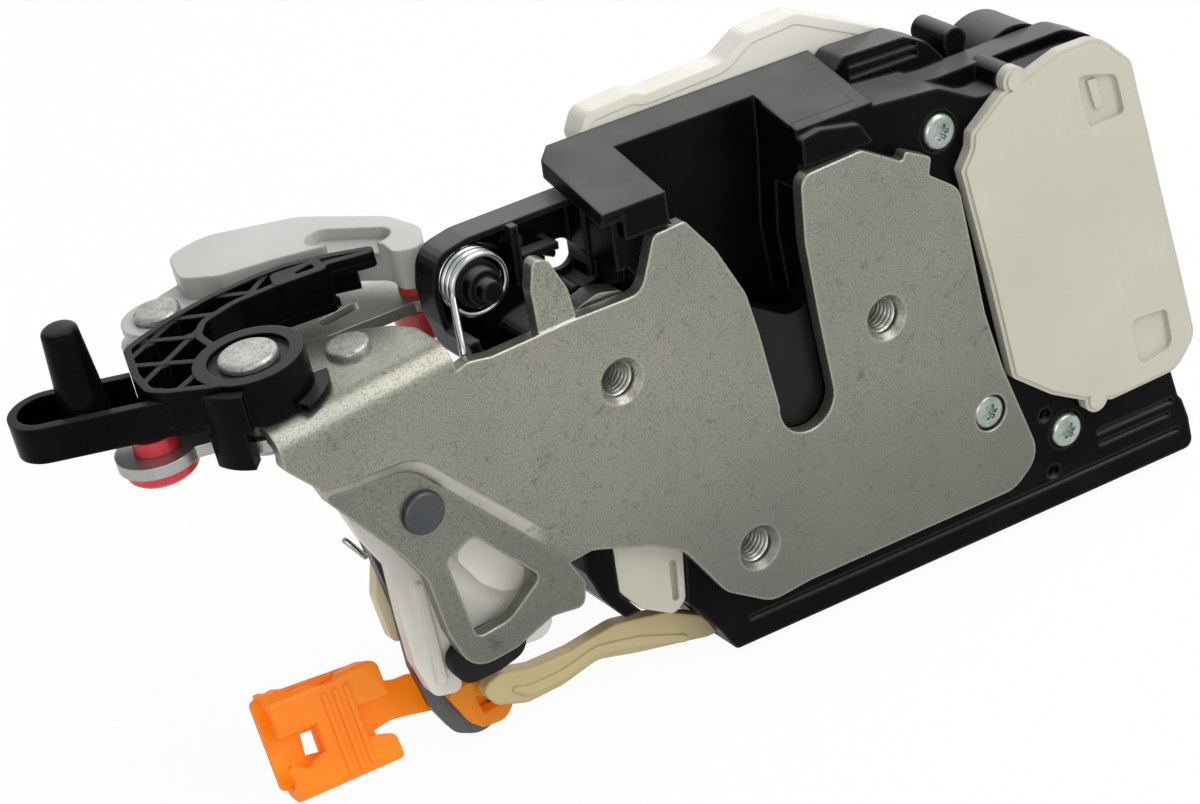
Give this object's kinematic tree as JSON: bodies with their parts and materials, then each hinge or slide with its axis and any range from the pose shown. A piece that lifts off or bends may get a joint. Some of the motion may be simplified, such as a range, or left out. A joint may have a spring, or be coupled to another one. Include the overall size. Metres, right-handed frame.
{
  "type": "door latch actuator",
  "caption": "Side door latch with lock actuator: bent steel face plate with striker slot and threaded mounts, plastic housing, release levers, lock linkage and orange rod clip.",
  "frame": {"origin": "centre of the striker slot's round end, on the face plate's outer face", "axes": "+X along the latch, from the release levers towards the actuator; +Y into the depth behind the face plate; +Z out of the striker slot's open end"},
  "size_m": [0.2032, 0.0542, 0.0975],
  "materials": {
    "zinc_steel": "matte zinc-plated steel",
    "rivet_steel": "satin",
    "rivet_zinc": "satin",
    "black_plastic": "fine grain",
    "offwhite_plastic": "satin",
    "cream_plastic": "satin",
    "bumper_rubber": "matte",
    "screw_steel": "satin",
    "spring_steel": "bright",
    "fork_steel": "dark satin",
    "jacket_plastic": "satin",
    "zinc_sheet": "satin",
    "red_plastic": "satin",
    "clear_plastic": "translucent",
    "white_plastic": "satin",
    "dark_steel": "satin",
    "link_plastic": "satin",
    "orange_plastic": "satin",
    "copper": "satin",
    "contact_brass": "satin"
  },
  "bodies": {
    "frame": {"face_plate": "zinc_steel", "lock_pivot_rivet": "rivet_steel", "flange_rivet": "rivet_zinc", "lever_pivot_rivet": "rivet_zinc", "key_pivot_rivet": "rivet_zinc", "latch_housing": "black_plastic", "rear_cover": "black_plastic", "actuator_cover": "offwhite_plastic", "guide_cover": "cream_plastic", "striker_bumper": "bumper_rubber", "star_screws": "screw_steel", "release_spring": "spring_steel", "pawl_spring": "spring_steel", "fork_spring": "spring_steel", "stop_pad": "bumper_rubber", "link_guide": "offwhite_plastic", "motor_can": "zinc_sheet", "motor_end_cap": "white_plastic", "wheel_pin": "rivet_zinc", "contact_strips": "contact_brass", "position_switch": "black_plastic", "connector_shell": "black_plastic", "connector_pins": "contact_brass"},
    "fork": {"fork_core": "fork_steel", "fork_jacket": "jacket_plastic"},
    "pawl": {"pawl": "fork_steel"},
    "release_lever": {"outside_lever": "black_plastic"},
    "inside_lever": {"inside_lever": "zinc_sheet", "left_bushing": "red_plastic", "right_bushing": "red_plastic"},
    "key_lever": {"key_lever": "clear_plastic"},
    "lock_lever": {"lock_lever": "white_plastic", "lock_arm_plate": "dark_steel", "lock_cam": "cream_plastic", "toggle_spring": "spring_steel"},
    "link": {"lock_link": "link_plastic"},
    "clip": {"rod_clip": "orange_plastic"},
    "worm": {"motor_shaft": "rivet_zinc", "motor_rotor": "copper", "worm": "white_plastic"},
    "wheel": {"worm_wheel": "cream_plastic", "drive_crank": "white_plastic"}
  },
  "joints": [
    {"name": "fork_turn", "type": "hinge", "parent": "frame", "child": "fork", "pos_m": [0.017, 0.0056, 0.0087], "axis": [0, -1, 0], "range_deg": [0, 62], "stiffness_Nm_per_rad": 0.05, "springref_deg": -17.19, "deforming": ["fork_spring"]},
    {"name": "release_turn", "type": "hinge", "parent": "frame", "child": "release_lever", "pos_m": [-0.08892, 0.0116, 0.02962], "axis": [0.1149, 0, -0.9934], "range_deg": [0, 6], "stiffness_Nm_per_rad": 0.3, "springref_deg": -11.46},
    {"name": "inside_turn", "type": "hinge", "parent": "frame", "child": "inside_lever", "pos_m": [-0.08892, 0.0116, 0.02962], "axis": [0.1149, 0, -0.9934], "range_deg": [0, 6]},
    {"name": "pawl_turn", "type": "hinge", "parent": "frame", "child": "pawl", "pos_m": [-0.0336, 0.0051, 0.0162], "axis": [0, 1, 0], "range_deg": [0, 8], "deforming": ["release_spring"]},
    {"name": "key_turn", "type": "hinge", "parent": "frame", "child": "key_lever", "pos_m": [-0.08892, 0.0445, 0.02962], "axis": [-0.1149, 0, 0.9934], "range_deg": [0, 20]},
    {"name": "lock_turn", "type": "hinge", "parent": "frame", "child": "lock_lever", "pos_m": [-0.0703, 0.011, 0.0069], "axis": [0, 1, 0], "range_deg": [-8, 8], "deforming": ["toggle_spring"]},
    {"name": "link_slide", "type": "slide", "parent": "frame", "child": "link", "axis": [1, 0, 0], "range_m": [-0.0056, 0.0056]},
    {"name": "clip_turn", "type": "hinge", "parent": "lock_lever", "child": "clip", "pos_m": [-0.0613, 0.013, -0.0348], "axis": [0, 1, 0], "range_deg": [-15, 8]},
    {"name": "wheel_turn", "type": "hinge", "parent": "frame", "child": "wheel", "pos_m": [0.0524, 0.0086, 0.012], "axis": [0, 1, 0], "continuous": true},
    {"name": "worm_turn", "type": "hinge", "parent": "frame", "child": "worm", "pos_m": [0.0654, 0.0086, 0.005], "axis": [0, 0, 1], "continuous": true}
  ],
  "couplings": [
    {"joint": "inside_turn", "follows": "release_turn", "ratio": 1},
    {"joint": "pawl_turn", "follows": "release_turn", "ratio": 1.33},
    {"joint": "link_slide", "follows": "lock_turn", "m_per_rad": -0.039},
    {"joint": "wheel_turn", "follows": "worm_turn", "ratio": 0.035714}
  ]
}
